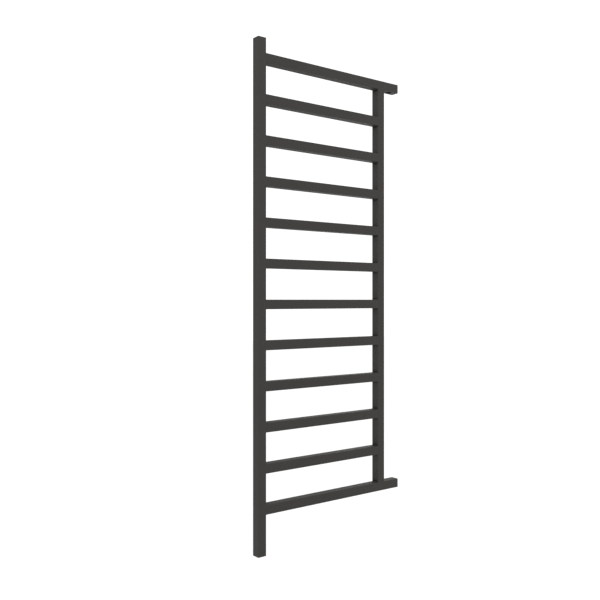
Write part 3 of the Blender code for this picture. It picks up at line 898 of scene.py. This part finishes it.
def build_vent_nozzle(base, looks):
    """The ribbed ring that swivels on the vent's neck, with its spout pointing down."""
    low = VENT_FLANGE_HIGH + GAP
    high = VENT_LIP_LOW - GAP
    shape = bmesh.new()
    add_turned(shape, aimed(base, WALL_WAY), [
        (NOZZLE_RING_BORE_R, high),
        (NOZZLE_RING_R - 0.0006, high),
        (NOZZLE_RING_R - 0.0002, high - 0.0002),
        (NOZZLE_RING_R, high - 0.0005),
        (NOZZLE_RING_R, low + 0.0005),
        (NOZZLE_RING_R - 0.0002, low + 0.0002),
        (NOZZLE_RING_R - 0.0006, low),
        (NOZZLE_RING_BORE_R, low),
    ], closed=True, ribs=NOZZLE_RIBS, rib_depth=NOZZLE_RIB_DEPTH, sides=NOZZLE_RIB_SIDES)
    spout_base = base + Vector(WALL_WAY) * (low + high) / 2
    add_turned(shape, aimed(spout_base, (0, 0, -1)), [
        (NOZZLE_HOLE_R, NOZZLE_REACH),
        (NOZZLE_R - 0.0004, NOZZLE_REACH),
        (NOZZLE_R - 0.0003, NOZZLE_REACH - 0.0001),
        (NOZZLE_R, NOZZLE_ROOT + 0.0010),
        (NOZZLE_R, NOZZLE_ROOT),
        (NOZZLE_HOLE_R, NOZZLE_ROOT),
    ], closed=True, sides=SPOUT_SIDES)
    mesh = finish_mesh(shape, "vent_nozzle_moulding", 40.0)
    new_piece("vent_nozzle_moulding", mesh, looks["dark_plastic"], "vent_nozzle",
              "dark_plastic", "vent_nozzle_ring")


def build_vent_spindle(base, looks):
    """The spindle: a round shank with a square end for the vent key."""
    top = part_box("vent_spindle")[1].y - base.y
    square_low = SPINDLE_SHOULDER - 0.0006
    shape = bmesh.new()
    square_place = Matrix.Translation(base + Vector(WALL_WAY) * (square_low + top) / 2)
    size = Matrix.Diagonal((SPINDLE_SQUARE, top - square_low, SPINDLE_SQUARE, 1.0))
    bmesh.ops.create_cube(shape, size=1.0, matrix=square_place @ size)
    bmesh.ops.bevel(
        shape, geom=list(shape.edges), offset=SPINDLE_SQUARE_EDGE, segments=SPINDLE_SQUARE_STEPS,
        profile=0.5, affect="EDGES",
    )
    add_turned(shape, aimed(base, WALL_WAY), [
        (0.0, SPINDLE_SHOULDER),
        (SPINDLE_R - 0.00045, SPINDLE_SHOULDER),
        (SPINDLE_R - 0.00015, SPINDLE_SHOULDER - 0.0001),
        (SPINDLE_R, SPINDLE_SHOULDER - 0.0003),
        (SPINDLE_R, SPINDLE_LOW),
        (0.0, SPINDLE_LOW),
    ])
    mesh = finish_mesh(shape, "vent_key_square", 25.0)
    new_piece("vent_key_square", mesh, looks["nickel_plated_brass"], "vent_key_spindle",
              "nickel_plated_brass", "vent_spindle")


def build_vent(looks):
    """The air vent on the back of the left post."""
    middle = middle_of("vent_body")
    base = Vector((middle.x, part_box("left_post")[1].y, middle.z))
    build_vent_seat(base, looks)
    build_vent_nozzle(base, looks)
    build_vent_spindle(base, looks)


def dress_cad_nodes(looks):
    """Give every CAD node that still shows its finish, by the record's own material slots."""
    for part in frame["record"]["subparts"]:
        item = frame["nodes"][part["node"]]
        item.data.materials.clear()
        item.data.materials.append(looks[part["material_slot"]])
        item.data.shade_smooth()
        item.data.set_sharp_from_angle(angle=math.radians(CAD_SHARP_ANGLE))


# ---------------------------------------------------------------- studio

def build_studio():
    """A pale floor, an even white world and two soft lamps."""
    low, high = cad_box
    floor_mesh = bpy.data.meshes.new("floor")
    shape = bmesh.new()
    bmesh.ops.create_grid(shape, x_segments=1, y_segments=1, size=FLOOR_SIZE)
    shape.to_mesh(floor_mesh)
    shape.free()
    floor = bpy.data.objects.new("floor", floor_mesh)
    floor.location = (0.0, 0.0, low[2] - FLOOR_BELOW)
    bpy.context.scene.collection.objects.link(floor)
    pale, tree, shader = node_material("pale_floor")
    tree.links.new(
        mix_colour(tree, spread(tree, noise(tree, 3.0), 0.0, 1.0), FLOOR_DARK, FLOOR_LIGHT),
        shader.inputs["Base Color"],
    )
    shader.inputs["Roughness"].default_value = 0.9
    shader.inputs["Specular IOR Level"].default_value = 0.1
    floor_mesh.materials.append(pale)

    world = bpy.data.worlds.new("studio")
    world.use_nodes = True
    sky = world.node_tree.nodes["Background"]
    sky.inputs["Color"].default_value = (1.0, 1.0, 1.0, 1.0)
    sky.inputs["Strength"].default_value = WORLD_STRENGTH
    bpy.context.scene.world = world
    bpy.context.scene.view_settings.view_transform = "Standard"

    centre = Vector(((low[0] + high[0]) / 2, (low[1] + high[1]) / 2, (low[2] + high[2]) / 2))
    for name, place, size, power in LAMPS:
        offset = Vector(place)
        lamp = bpy.data.lights.new(name, "AREA")
        lamp.shape = "SQUARE"
        lamp.size = size
        lamp.energy = power
        item = bpy.data.objects.new(name, lamp)
        item.location = centre + offset
        item.rotation_euler = (-offset).to_track_quat("-Z", "Y").to_euler()
        bpy.context.scene.collection.objects.link(item)


def build_camera():
    """Level, turned towards +X, and placed from the near edge of the left post."""
    post_low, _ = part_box("left_post")
    top_of_top_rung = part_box(rung_name(1))[1].z
    ahead = Vector((math.sin(VIEW_TURN), math.cos(VIEW_TURN), 0.0))
    right = Vector((math.cos(VIEW_TURN), -math.sin(VIEW_TURN), 0.0))
    near_edge = Vector((post_low.x, post_low.y, top_of_top_rung - EYE_BELOW_TOP_RUNG))
    lens = bpy.data.cameras.new("camera")
    lens.sensor_width = SENSOR_MM
    lens.lens = LENS_MM
    lens.clip_start = CLIP_START
    camera = bpy.data.objects.new("camera", lens)
    camera.location = near_edge - ahead * VIEW_DEPTH + right * VIEW_SIDE
    camera.rotation_euler = (math.pi / 2, 0.0, -VIEW_TURN)
    bpy.context.scene.collection.objects.link(camera)
    bpy.context.scene.camera = camera


def main():
    """Make the finishes, then every piece, the studio and the camera."""
    coat = powder_coat("rack_powder_coat", 0.0, square=True)
    looks = {
        "rack_coat": coat,
        "boss_coat": powder_coat("boss_powder_coat", 2.0, square=False),
        "bracket_coat": powder_coat("bracket_powder_coat", 4.0, square=False),
        "zinc_plated_steel": plated(
            "zinc_plate", (0.42, 0.43, 0.46), (0.60, 0.61, 0.62), 0.24, 0.42, 900.0
        ),
        "nickel_plated_brass": plated(
            "nickel_plate", (0.50, 0.48, 0.44), (0.66, 0.64, 0.59), 0.16, 0.34, 1200.0
        ),
        "dark_plastic": moulded(
            "dark_plastic", (0.020, 0.020, 0.022), (0.032, 0.032, 0.035), 0.5, 3200.0, 0.00002
        ),
        "rubber": moulded(
            "black_rubber", (0.010, 0.010, 0.010), (0.018, 0.018, 0.018), 0.78, 2400.0, 0.00002
        ),
        "nylon": moulded(
            "natural_nylon", (0.66, 0.65, 0.60), (0.76, 0.75, 0.70), 0.46, 1500.0, 0.00001
        ),
    }
    dress_cad_nodes(looks)
    tube_side = build_tubes(coat)
    build_welds(coat, tube_side)
    for name in BRACKETS:
        build_bracket(name, looks)
    build_vent(looks)
    build_studio()
    build_camera()


main()
